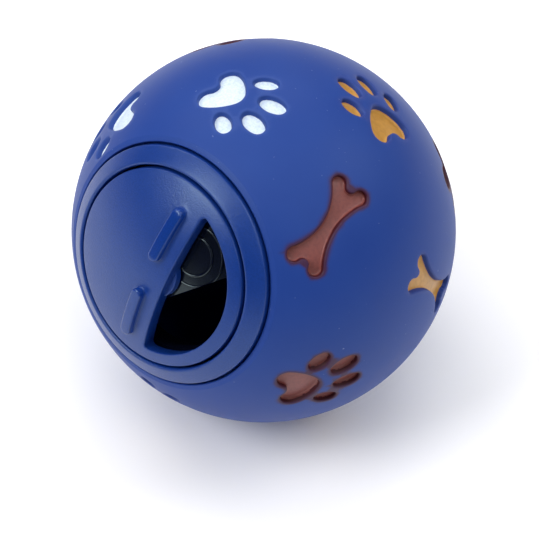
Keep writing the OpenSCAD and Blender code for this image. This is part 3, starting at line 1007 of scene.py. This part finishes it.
@dataclass
class Dial:
    """Turning dial: a shallow dome with a half-moon opening, two grip bars, a boss and a spigot."""

    rim_h: float
    outer_r: float = 18.9
    rise: float = 3.8
    # The underside's depth, which is the gate plate's less its rings and the running gap
    deep: float = 2.8
    moon_r: float = 16.3
    chord: float = 4.2
    tip_r: float = 0.7
    edge: float = 0.45
    lip: float = 0.3
    turn: float = -6.3
    # Small bevels of the underside: their height, and their width at the rim and at the opening
    bevel_up: float = 0.2
    bevel_rim: float = 0.15
    bevel_moon: float = 0.12
    # Distance of the underside's outer ring from the opening
    under_rim: float = 0.6
    bar_shift: float = 0.3
    bar_start: float = 3.5
    bar_l: float = 11.3
    bar_w: float = 2.4
    bar_h: float = 1.6
    bar_foot: float = 0.2
    bar_top: float = 0.36
    bar_draft: float = 0.05
    boss_r: float = 5.2
    boss_edge: float = 0.2
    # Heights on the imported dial: over the gate plate's hub, in the dial's plate, behind the hub
    boss_low: float = 32.234
    boss_high: float = 33.579
    spigot_r: float = 3.0
    spigot_end: float = 28.784
    screw_r: float = 1.5
    # Spacing of the scattered points, and their distance from the rim, the opening and the bars
    spacing: float = 0.8
    clear_rim: float = 0.5
    clear_moon: float = 0.35
    clear_bar: float = 0.5
    step: float = 0.35
    steps: int = 320
    boss_steps: int = 128

    @property
    def face(self) -> float:
        """Radius of the dome's sphere, from the rim's radius and the rise of the dome over it."""
        return (self.outer_r ** 2 + self.rise ** 2) / (2 * self.rise)

    @property
    def skirt(self) -> float:
        """Radius of the sphere that the underside lies on."""
        return self.face - self.deep

    @property
    def centre_h(self) -> float:
        """Height of both spheres' middle, which lies behind the ball's."""
        return self.rim_h + self.rise - self.face

    def moon(self) -> Outline:
        """Draws the half-moon opening, its straight edge at x = chord and its two tips rounded.

        Returns:
            The outline.
        """
        tip_x = self.chord + self.tip_r
        corner = np.array([tip_x, math.sqrt((self.moon_r - self.tip_r) ** 2 - tip_x ** 2)])
        low = corner * [1, -1]
        side = np.array([-1.0, 0.0])
        return (Outline()
                .arc(np.zeros(2), self.moon_r, low, corner, self.step)
                .arc(corner, self.tip_r, corner, side, self.step / 2)
                .line([self.chord, corner[1]], [self.chord, low[1]], self.step)
                .arc(low, self.tip_r, side, low, self.step / 2))

    def bar(self, side: int) -> Outline:
        """Draws a grip bar as a stadium along y.

        Args:
            side: 1 for the bar at +y, -1 for the other.

        Returns:
            The outline.
        """
        r = self.bar_w / 2
        near, far = self.bar_start + r, self.bar_start + self.bar_l - r
        low, high = sorted((side * near, side * far))
        x = self.bar_shift
        right, left = np.array([1.0, 0.0]), np.array([-1.0, 0.0])
        return (Outline()
                .arc(np.array([x, low]), r, left, right, self.step / 2)
                .line([x + r, low], [x + r, high], self.step)
                .arc(np.array([x, high]), r, right, left, self.step / 2)
                .line([x - r, high], [x - r, low], self.step))

    def bar_profile(self) -> np.ndarray:
        """Draws a bar's side: a hollow fillet at its foot, a drafted side and a rounded top edge.

        Returns:
            Pairs of offset from the outline and rise over the face, from the foot to the top.
        """
        offset, rise = quarter_round(self.bar_foot, 4)
        drop, inward = quarter_round(self.bar_top, 6)
        return np.vstack([np.stack([offset, rise], -1),
                          np.stack([-self.bar_draft - inward, self.bar_h - drop], -1)])

    def height(self, sphere: float, radius: float) -> float:
        """Height of a sphere about the domes' middle at a radius round the axis."""
        return self.centre_h + cap_height(sphere, radius)

    def on(self, sphere: np.ndarray | float, flat: np.ndarray) -> np.ndarray:
        """Points over flat places on a sphere about the domes' middle."""
        height = self.centre_h + np.sqrt(np.asarray(sphere) ** 2 - (flat ** 2).sum(-1))
        return np.column_stack([flat, height])

    def top(self) -> tuple[np.ndarray, np.ndarray, np.ndarray]:
        """Lays the face from the rim's rounding inwards, with the opening's edge and the bars.

        Returns:
            The points, the faces, and 1 for each point of a polished bar.
        """
        relief = Relief()
        start = self.rim_start()
        rim = revolve(np.array([[start, self.height(self.face, start)]]), self.steps)
        relief.add(rim[:, :2], rim, 0.0, True)
        moon = self.moon()
        for offset, drop in zip(*quarter_round(self.lip, 6)):
            flat = moon.ring(offset)
            relief.add(flat, self.on(self.face - drop, flat), 0.0, True)
        bars = [self.bar(-1), self.bar(1)]
        for bar in bars:
            for offset, rise in self.bar_profile():
                flat = bar.ring(offset)
                relief.add(flat, self.on(self.face + rise, flat), float(offset < 0), True)
        dots = self.dots(start, moon, bars)
        relief.add(dots, self.on(self.face, dots), 0.0, False)
        solid, faces, marks = relief.build()
        return solid, self.outside(moon, 0.0, solid, faces), marks

    @staticmethod
    def outside(moon: Outline, limit: float, solid: np.ndarray, faces: np.ndarray) -> np.ndarray:
        """Leaves out the faces that fill the opening.

        Args:
            moon: the opening's outline.
            limit: faces whose middle lies nearer to it than this, or inside it, fill it.
            solid: the points.
            faces: triangles of their indices.

        Returns:
            The faces that stay.
        """
        return faces[moon.distance(solid[:, :2][faces].mean(1)) >= limit]

    def dots(self, limit: float, moon: Outline, bars: list[Outline]) -> np.ndarray:
        """Scatters places on the face along a golden-angle spiral, clear of the outlines.

        Args:
            limit: radius of the ring round them.
            moon: the opening's outline.
            bars: the bars' outlines.

        Returns:
            n by 2 places.
        """
        count = int(math.pi * limit ** 2 / self.spacing ** 2)
        flat = spiral((limit - self.clear_rim) * np.sqrt((np.arange(count) + 0.5) / count))
        keep = moon.distance(flat) > self.lip + self.clear_moon
        for bar in bars:
            keep &= bar.distance(flat) > self.clear_bar
        return flat[keep]

    def rim_start(self) -> float:
        """Radius where the face turns into the rim's rounding."""
        middle_r = self.outer_r - self.edge
        return middle_r * self.face / (self.face - self.edge)

    def rim_profile(self) -> np.ndarray:
        """Follows the rim: from the face's edge round it, down the skirt and in under it.

        Returns:
            Pairs of radius and height.
        """
        middle_r = self.outer_r - self.edge
        rise = cap_height(self.face - self.edge, middle_r)
        lean = math.degrees(math.atan2(rise, middle_r))
        under = [(r, self.height(self.skirt, r))
                 for r in (self.outer_r - self.bevel_rim, self.moon_r + self.under_rim)]
        return np.vstack([
            round_arc((middle_r, self.centre_h + rise), self.edge, lean, 0, 6),
            [[self.outer_r, self.height(self.skirt, self.outer_r) + self.bevel_up]],
            under,
        ])

    def boss_profile(self) -> np.ndarray:
        """Draws the section of the boss and the spigot round the screw's hole, top edge rounded.

        Returns:
            Pairs of radius and height round the section.
        """
        soft = self.boss_edge
        return np.vstack([
            [[self.screw_r, self.spigot_end], [self.screw_r, self.boss_high]],
            round_arc((self.boss_r - soft, self.boss_high - soft), soft, 90, 0, 5),
            [[self.boss_r, self.boss_low], [self.spigot_r, self.boss_low],
             [self.spigot_r, self.spigot_end]],
        ])

    def build(self) -> bpy.types.Object:
        """Joins the face, the rim, the opening's wall and the underside to one closed mesh.

        The boss and the spigot are a closed ring of their own that stands into the plate.

        Returns:
            The dial, turned to where its opening faces.
        """
        face, face_triangles, polish = self.top()
        rim = self.rim_profile()
        moon = self.moon()
        wall = [self.on(self.face - self.lip, moon.ring(0.0)),
                self.on(self.skirt + self.bevel_up, moon.ring(0.0)),
                self.on(self.skirt, moon.ring(self.bevel_moon))]
        under, under_triangles = self.underside(rim, moon, wall[-1])
        boss = self.boss_profile()
        boss = np.vstack([boss, boss[:1]])
        parts = [
            (face, face_triangles),
            (revolve(rim, self.steps), grid_faces(len(rim), self.steps)),
            (np.vstack(wall), grid_faces(len(wall), len(wall[0]))),
            (under, under_triangles),
            (revolve(boss, self.boss_steps), grid_faces(len(boss), self.boss_steps)),
        ]
        faces: list[list[int]] = []
        count = 0
        for points, indices in parts:
            faces.extend((indices + count).tolist())
            count += len(points)
        spin = math.radians(self.turn)
        c, s = math.cos(spin), math.sin(spin)
        turned = np.vstack([points for points, _ in parts]) @ np.array([[c, s, 0], [-s, c, 0], [0, 0, 1]])
        polish = np.concatenate([polish, np.zeros(count - len(polish))])
        return new_object("port_dial", turned, faces, 40, {"polish": polish})

    def underside(self, rim: np.ndarray, moon: Outline,
                  opening: np.ndarray) -> tuple[np.ndarray, np.ndarray]:
        """Lays the underside between the rim's last ring and the opening's wall.

        Args:
            rim: the rim's profile.
            moon: the opening's outline.
            opening: the lowest ring of the opening's wall.

        Returns:
            The points and the triangles.
        """
        under = Relief()
        ring = revolve(rim[-1:], self.steps)
        under.add(ring[:, :2], ring, 0.0, True)
        under.add(moon.ring(self.bevel_moon), opening, 0.0, True)
        dots = self.dots(self.moon_r + self.under_rim, moon, [])
        under.add(dots, self.on(self.skirt, dots), 0.0, False)
        solid, triangles, _ = under.build()
        return solid, self.outside(moon, self.bevel_moon / 2, solid, triangles)


class Graph:
    """The node tree of a material or a world, filled by one call for each node."""

    def __init__(self, owner: bpy.types.Material | bpy.types.World) -> None:
        """Empties a node tree.

        Args:
            owner: the material or world that has it.
        """
        self.owner = owner
        owner.use_nodes = True
        self.tree = owner.node_tree
        self.tree.nodes.clear()

    @classmethod
    def material(cls, name: str) -> "Graph":
        """Starts a new material of that name."""
        return cls(bpy.data.materials.new(name))

    def add(self, kind: str, links: dict | None = None, **settings: object) -> bpy.types.Node:
        """Adds a node with its settings and links.

        Args:
            kind: the node's type, such as ShaderNodeTexNoise.
            links: input name or number to an output socket, a number, or a colour.
            settings: attributes of the node.

        Returns:
            The node.
        """
        node = self.tree.nodes.new(kind)
        for key, value in settings.items():
            setattr(node, key, value)
        for key, value in (links or {}).items():
            if isinstance(value, bpy.types.NodeSocket):
                self.tree.links.new(value, node.inputs[key])
            else:
                node.inputs[key].default_value = value
        return node


def vinyl_material(finish: Vinyl) -> bpy.types.Material:
    """Makes vinyl with slow ripples, a fine grain, dust specks and paint where the skin has it.

    Args:
        finish: the vinyl's values.

    Returns:
        The material.
    """
    g = Graph.material("slush_moulded_vinyl")
    place = g.add("ShaderNodeTexCoord").outputs["Object"]
    slow = g.add("ShaderNodeTexNoise", {"Vector": place, "Scale": 1 / (finish.ripple_mm * MM),
                                        "Detail": 3.0, "Roughness": 0.5})
    grain = g.add("ShaderNodeTexNoise", {"Vector": place, "Scale": 1 / (finish.grain_mm * MM),
                                         "Detail": 4.0, "Roughness": 0.6})
    base = g.add("ShaderNodeMix", {"Factor": slow.outputs["Fac"], "A": linear(finish.colour),
                                   "B": linear(finish.pale)}, data_type="RGBA")
    amount = g.add("ShaderNodeAttribute", attribute_name="paint_amount").outputs["Fac"]
    tint = g.add("ShaderNodeAttribute", attribute_name="paint_tint")
    mist = g.add("ShaderNodeMapRange", {"Value": amount, "From Max": BallSkin.halo,
                                        "To Max": tint.outputs["Alpha"]})
    misty = g.add("ShaderNodeMix", {"Factor": mist.outputs[0], "A": base.outputs["Result"],
                                    "B": tint.outputs["Color"]}, data_type="RGBA")
    speckle = g.add("ShaderNodeMath", {0: grain.outputs["Fac"], 1: finish.speckle},
                    operation="MULTIPLY")
    edge = g.add("ShaderNodeMath", {0: amount, 1: speckle.outputs[0]}, operation="ADD")
    reach = g.add("ShaderNodeMath", {0: tint.outputs["Alpha"], 1: finish.creep, 2: edge.outputs[0]},
                  operation="MULTIPLY_ADD")
    spray = g.add("ShaderNodeMapRange", {"Value": reach.outputs[0], "From Min": finish.bare,
                                         "From Max": finish.coated})
    colour = g.add("ShaderNodeMix", {"Factor": spray.outputs[0], "A": misty.outputs["Result"],
                                     "B": tint.outputs["Color"]}, data_type="RGBA")
    shake = g.add("ShaderNodeMix", {"Factor": finish.dust_shake, "A": place,
                                    "B": grain.outputs["Color"]}, data_type="VECTOR")
    for dust in finish.dust:
        share = dust.size_mm / dust.cell_mm
        specks = g.add("ShaderNodeTexVoronoi", {"Vector": shake.outputs["Result"],
                                                "Scale": 1 / (dust.cell_mm * MM), "Randomness": 1.0})
        speck = g.add("ShaderNodeMapRange", {"Value": specks.outputs["Distance"], "From Min": share,
                                             "From Max": share / 2, "To Max": dust.pale})
        colour = g.add("ShaderNodeMix", {"Factor": speck.outputs[0], "A": colour.outputs["Result"],
                                         "B": linear(finish.dust_colour)}, data_type="RGBA")
    ripple = g.add("ShaderNodeBump", {"Height": slow.outputs["Fac"], "Strength": finish.ripple_bump,
                                      "Distance": finish.ripple_deep_mm * MM})
    fine = g.add("ShaderNodeBump", {"Height": grain.outputs["Fac"], "Strength": finish.grain_bump,
                                    "Distance": finish.grain_deep_mm * MM,
                                    "Normal": ripple.outputs["Normal"]})
    rough = g.add("ShaderNodeMapRange", {"Value": slow.outputs["Fac"],
                                         "To Min": finish.rough - finish.rough_swing,
                                         "To Max": finish.rough + finish.rough_swing})
    shader = g.add("ShaderNodeBsdfPrincipled", {"Base Color": colour.outputs["Result"],
                                                "Roughness": rough.outputs[0], "IOR": finish.ior,
                                                "Specular IOR Level": finish.gloss,
                                                "Specular Tint": linear(finish.gloss_tint),
                                                "Normal": fine.outputs["Normal"]})
    g.add("ShaderNodeOutputMaterial", {"Surface": shader.outputs[0]})
    return g.owner


def plastic_material(name: str, finish: HardPlastic) -> bpy.types.Material:
    """Makes hard plastic with the tool's grain and faint wear in its gloss.

    Args:
        name: the material's name.
        finish: the plastic's values.

    Returns:
        The material.
    """
    g = Graph.material(name)
    place = g.add("ShaderNodeTexCoord").outputs["Object"]
    grain = g.add("ShaderNodeTexNoise", {"Vector": place, "Scale": 1 / (finish.grain_mm * MM),
                                         "Detail": 2.0, "Roughness": 0.65})
    wear = g.add("ShaderNodeTexNoise", {"Vector": place, "Scale": 1 / (finish.wear_mm * MM),
                                        "Detail": 3.0})
    tone = g.add("ShaderNodeMapRange", {"Value": grain.outputs["Fac"], "From Min": 0.3, "From Max": 0.7,
                                        "To Min": finish.dark, "To Max": finish.light})
    base = g.add("ShaderNodeMix", {"Factor": 1.0, "A": linear(finish.colour), "B": tone.outputs[0]},
                 data_type="RGBA", blend_type="MULTIPLY")
    polish = g.add("ShaderNodeAttribute", attribute_name="polish").outputs["Fac"]
    strength = g.add("ShaderNodeMapRange", {"Value": polish, "To Min": finish.bump, "To Max": 0.0})
    bump = g.add("ShaderNodeBump", {"Height": grain.outputs["Fac"], "Strength": strength.outputs[0],
                                    "Distance": finish.grain_deep_mm * MM})
    satin = g.add("ShaderNodeMapRange", {"Value": wear.outputs["Fac"],
                                         "To Min": finish.rough - finish.rough_swing,
                                         "To Max": finish.rough + finish.rough_swing})
    rough = g.add("ShaderNodeMix", {"Factor": polish, "A": satin.outputs[0], "B": finish.polished})
    shader = g.add("ShaderNodeBsdfPrincipled", {"Base Color": base.outputs["Result"],
                                                "Roughness": rough.outputs["Result"],
                                                "IOR": finish.ior,
                                                "Specular IOR Level": finish.gloss,
                                                "Specular Tint": linear(finish.gloss_tint),
                                                "Normal": bump.outputs["Normal"]})
    g.add("ShaderNodeOutputMaterial", {"Surface": shader.outputs[0]})
    return g.owner


def paint_material(paint: Paint) -> bpy.types.Material:
    """Makes sprayed vinyl paint with a soft mottle and a faintly uneven coat.

    Args:
        paint: the paint's colour.

    Returns:
        The material.
    """
    finish = PAINTS[paint]
    g = Graph.material(f"{paint.value}_vinyl_paint")
    place = g.add("ShaderNodeTexCoord").outputs["Object"]
    mottle = g.add("ShaderNodeTexNoise", {"Vector": place, "Scale": 1 / (finish.mottle_mm * MM),
                                          "Detail": 4.0})
    spread = g.add("ShaderNodeMapRange", {"Value": mottle.outputs["Fac"], "From Min": 0.4,
                                          "From Max": 0.75, "To Max": finish.flecks})
    base = g.add("ShaderNodeMix", {"Factor": spread.outputs[0], "A": linear(finish.film),
                                   "B": linear(finish.fleck)}, data_type="RGBA")
    bump = g.add("ShaderNodeBump", {"Height": mottle.outputs["Fac"], "Strength": finish.mottle_bump,
                                    "Distance": finish.mottle_deep_mm * MM})
    shader = g.add("ShaderNodeBsdfPrincipled", {"Base Color": base.outputs["Result"],
                                                "Roughness": finish.rough, "IOR": finish.ior,
                                                "Normal": bump.outputs["Normal"]})
    g.add("ShaderNodeOutputMaterial", {"Surface": shader.outputs[0]})
    return g.owner


def zinc_material(finish: Zinc) -> bpy.types.Material:
    """Makes zinc plating with a slight mottle in its gloss.

    Args:
        finish: the plating's values.

    Returns:
        The material.
    """
    g = Graph.material("zinc_plated_steel")
    place = g.add("ShaderNodeTexCoord").outputs["Object"]
    mottle = g.add("ShaderNodeTexNoise", {"Vector": place, "Scale": 1 / (finish.mottle_mm * MM),
                                          "Detail": 3.0})
    rough = g.add("ShaderNodeMapRange", {"Value": mottle.outputs["Fac"],
                                         "To Min": finish.rough - finish.rough_swing,
                                         "To Max": finish.rough + finish.rough_swing})
    shader = g.add("ShaderNodeBsdfPrincipled", {"Base Color": linear(finish.colour), "Metallic": 1.0,
                                                "Roughness": rough.outputs[0]})
    g.add("ShaderNodeOutputMaterial", {"Surface": shader.outputs[0]})
    return g.owner


def background_rays(g: Graph, mirrored: float = 1.0) -> bpy.types.NodeSocket:
    """Picks the rays that show the background: from the camera, mirrored, or let through.

    Args:
        g: the graph that needs them.
        mirrored: how much of the background the mirrored and let-through rays get.

    Returns:
        1 for a camera ray, mirrored for those two kinds, and 0 for any other.
    """
    rays = g.add("ShaderNodeLightPath")
    bent = g.add("ShaderNodeMath", {0: rays.outputs["Is Glossy Ray"],
                                    1: rays.outputs["Is Transmission Ray"]},
                 operation="ADD", use_clamp=True)
    seen = g.add("ShaderNodeMath", {0: bent.outputs[0], 1: mirrored,
                                    2: rays.outputs["Is Camera Ray"]},
                 operation="MULTIPLY_ADD", use_clamp=True)
    return seen.outputs[0]


def dress(piece: bpy.types.Object, material: bpy.types.Material) -> None:
    """Gives an object one material."""
    piece.data.materials.clear()
    piece.data.materials.append(material)


def direction(azimuth: float, elevation: float) -> Vector:
    """Unit vector at an azimuth, from the row's -Y towards +X, and an elevation, in degrees."""
    a, e = math.radians(azimuth), math.radians(elevation)
    return Vector((math.sin(a) * math.cos(e), -math.cos(a) * math.cos(e), math.sin(e)))


@dataclass(frozen=True)
class Softbox:
    """A square soft lamp that looks at the ball.

    Its place is an azimuth and an elevation in degrees and a distance from the ball's centre in
    metres. Its side is in metres too.
    """

    name: str
    azimuth: float
    elevation: float
    away: float
    side: float
    watts: float

    def build(self) -> None:
        """Makes the lamp and turns it to the ball's centre."""
        data = bpy.data.lights.new(self.name, "AREA")
        data.size = self.side
        data.energy = self.watts
        lamp = bpy.data.objects.new(self.name, data)
        lamp.location = direction(self.azimuth, self.elevation) * self.away
        lamp.rotation_euler = (-lamp.location).to_track_quat("-Z", "Y").to_euler()
        bpy.context.scene.collection.objects.link(lamp)


@dataclass
class Studio:
    """Plain white sheet, soft lamps and the camera at the photograph's angle.

    The ball's place in the view and the camera's sizes are millimetres, the sheet's sizes metres.
    """

    floor_z: float
    azimuth: float = 41.8
    elevation: float = 50.0
    ball_right: float = -1.23
    ball_up: float = 7.73
    distance: float = 450.0
    lens: float = 153.3
    sensor: float = 36
    # The room's colour, and its strengths below and above two sines of the elevation
    room: str = "#eef1f8"
    fade_from: float = 0.1
    fade_to: float = 0.4
    horizon: float = 0.15
    ceiling: float = 0.02
    # Sines of the elevation between which the white band ends, and its part for mirrored rays
    band_top: float = 0.12
    band_end: float = 0.14
    mirrored: float = 0.25
    sheet: str = "#fafafd"
    sheet_rough: float = 0.9
    sheet_gloss: float = 0.1
    sheet_half: float = 2.5
    # Distances between which the glow round the shadow starts, and its strength
    wash_from: float = 0.04
    wash_to: float = 0.075
    wash: float = 0.25
    # Distances between which the glow beyond the lamps' light grows to white
    far_from: float = 0.7
    far_to: float = 1.1
    softboxes: tuple[Softbox, ...] = (
        Softbox("key_softbox", azimuth=-25, elevation=45, away=1.0, side=0.45, watts=5.8),
        Softbox("left_softbox", azimuth=-100, elevation=45, away=1.0, side=0.5, watts=2.4),
        Softbox("back_left_softbox", azimuth=-150, elevation=40, away=1.0, side=0.5, watts=2.0),
        Softbox("back_right_softbox", azimuth=145, elevation=42, away=1.0, side=0.5, watts=3.0),
        Softbox("right_softbox", azimuth=80, elevation=45, away=1.0, side=0.5, watts=1.8),
        Softbox("overhead_softbox", azimuth=0, elevation=89, away=1.1, side=0.9, watts=4.2),
    )

    def camera(self) -> None:
        """Places the camera so that the ball's centre has its measured place in the view."""
        back = direction(self.azimuth, self.elevation)
        turn = math.radians(self.azimuth)
        right = Vector((math.cos(turn), math.sin(turn), 0))
        up = back.cross(right)
        data = bpy.data.cameras.new("camera")
        data.lens = self.lens
        data.sensor_width = self.sensor
        data.clip_start, data.clip_end = 0.01, 20
        camera = bpy.data.objects.new("camera", data)
        camera.matrix_world = Matrix((right, up, back)).transposed().to_4x4()
        camera.location = (back * self.distance - right * self.ball_right - up * self.ball_up) * MM
        bpy.context.scene.collection.objects.link(camera)
        bpy.context.scene.camera = camera

    def floor(self) -> None:
        """Lays a wide flat white sheet under the ball.

        Round the ball's shadow, and more beyond the lamps' light, the sheet glows for the rays that
        show the background. So it stays white and sends no more light on to the ball.
        """
        half = self.sheet_half
        mesh = bpy.data.meshes.new("studio_floor")
        corners = [(x * half, y * half, self.floor_z) for x, y in ((-1, -1), (1, -1), (1, 1), (-1, 1))]
        mesh.from_pydata(corners, [], [(0, 1, 2, 3)])
        floor = bpy.data.objects.new("studio_floor", mesh)
        bpy.context.scene.collection.objects.link(floor)
        g = Graph.material("white_sheet")
        place = g.add("ShaderNodeTexCoord").outputs["Object"]
        away = g.add("ShaderNodeVectorMath", {0: place}, operation="LENGTH").outputs["Value"]
        wash = g.add("ShaderNodeMapRange", {"Value": away, "From Min": self.wash_from,
                                            "From Max": self.wash_to, "To Max": self.wash})
        far = g.add("ShaderNodeMapRange", {"Value": away, "From Min": self.far_from,
                                           "From Max": self.far_to})
        most = g.add("ShaderNodeMath", {0: wash.outputs[0], 1: far.outputs[0]}, operation="MAXIMUM")
        glow = g.add("ShaderNodeMath", {0: most.outputs[0], 1: background_rays(g)},
                     operation="MULTIPLY")
        shader = g.add("ShaderNodeBsdfPrincipled", {"Base Color": linear(self.sheet),
                                                    "Roughness": self.sheet_rough,
                                                    "Specular IOR Level": self.sheet_gloss,
                                                    "Emission Color": linear("#ffffff"),
                                                    "Emission Strength": glow.outputs[0]})
        g.add("ShaderNodeOutputMaterial", {"Surface": shader.outputs[0]})
        dress(floor, g.owner)

    def world(self) -> None:
        """Makes a dim room, and a low white band at the horizon in line with the far sheet.

        The room's brightness falls evenly with the sine of the elevation, between fade_from and
        fade_to. The band is white for the camera, dimmer for mirrored rays, so that it lays no haze
        on the glossy pieces, and lights nothing else.
        """
        world = bpy.data.worlds.new("studio")
        bpy.context.scene.world = world
        g = Graph(world)
        way = g.add("ShaderNodeTexCoord").outputs["Generated"]
        up = g.add("ShaderNodeSeparateXYZ", {"Vector": way}).outputs["Z"]
        fade = g.add("ShaderNodeMapRange", {"Value": up, "From Min": self.fade_from,
                                            "From Max": self.fade_to, "To Min": self.horizon,
                                            "To Max": self.ceiling})
        band = g.add("ShaderNodeMapRange", {"Value": up, "From Min": self.band_end,
                                            "From Max": self.band_top})
        white = g.add("ShaderNodeMath", {0: band.outputs[0], 1: background_rays(g, self.mirrored)},
                      operation="MULTIPLY")
        strength = g.add("ShaderNodeMath", {0: fade.outputs[0], 1: white.outputs[0]},
                         operation="MAXIMUM")
        colour = g.add("ShaderNodeMix", {"Factor": white.outputs[0], "A": linear(self.room),
                                         "B": linear("#ffffff")}, data_type="RGBA")
        shade = g.add("ShaderNodeBackground", {"Color": colour.outputs["Result"],
                                               "Strength": strength.outputs[0]})
        g.add("ShaderNodeOutputWorld", {"Surface": shade.outputs[0]})

    def build(self) -> None:
        """Makes the whole studio."""
        self.camera()
        self.floor()
        self.world()
        for softbox in self.softboxes:
            softbox.build()
        bpy.context.scene.view_settings.view_transform = "Standard"


def put_in(piece: bpy.types.Object, material: bpy.types.Material, body: str, node: str) -> None:
    """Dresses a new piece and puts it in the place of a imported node.

    Args:
        piece: the new piece.
        material: its finish.
        body: the body that it rides on.
        node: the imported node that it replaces.
    """
    dress(piece, material)
    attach(piece, body)
    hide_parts(node)
    LOG.info("%s made", piece.name)


def main() -> None:
    """Builds the studio and every piece in order."""
    logging.basicConfig(level=logging.INFO)
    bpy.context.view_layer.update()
    low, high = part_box("ball")
    radius = (high.x - low.x) / 2 / MM
    Studio(floor_z=low.z).build()

    skin = BallSkin(radius=radius)
    put_in(skin.build(), vinyl_material(Vinyl()), BALL_BODY, "ball")

    films = PaintFilms(skin)
    for paint in Paint:
        material = paint_material(paint)
        for shape in Shape:
            put_in(films.build(shape, paint), material, BALL_BODY, f"{paint.value}_{shape.value}s")

    hard = plastic_material("spark_grained_polypropylene", HardPlastic())
    collar = Collar(face=radius - COLLAR_DROP).build()
    put_in(collar, hard, BALL_BODY, "collar")
    dial = Dial(rim_h=cap_height(radius - DIAL_DROP, Dial.outer_r)).build()
    put_in(dial, hard, DIAL_BODY, "dial")

    # The gate plate comes from a smooth tool, so it is glossy. Its near-black colour is painted shade,
    # standing for the ball's shade that it lies in.
    smooth = HardPlastic(colour="#050818", rough=0.15, grain_mm=0.5, bump=0.03)
    dress(frame["nodes"]["gate_plate"], plastic_material("smooth_polypropylene_painted_shade", smooth))
    zinc = zinc_material(Zinc())
    for name in ("dial_screw", "screw_washer"):
        dress(frame["nodes"][name], zinc)


if __name__ == "__main__":
    main()
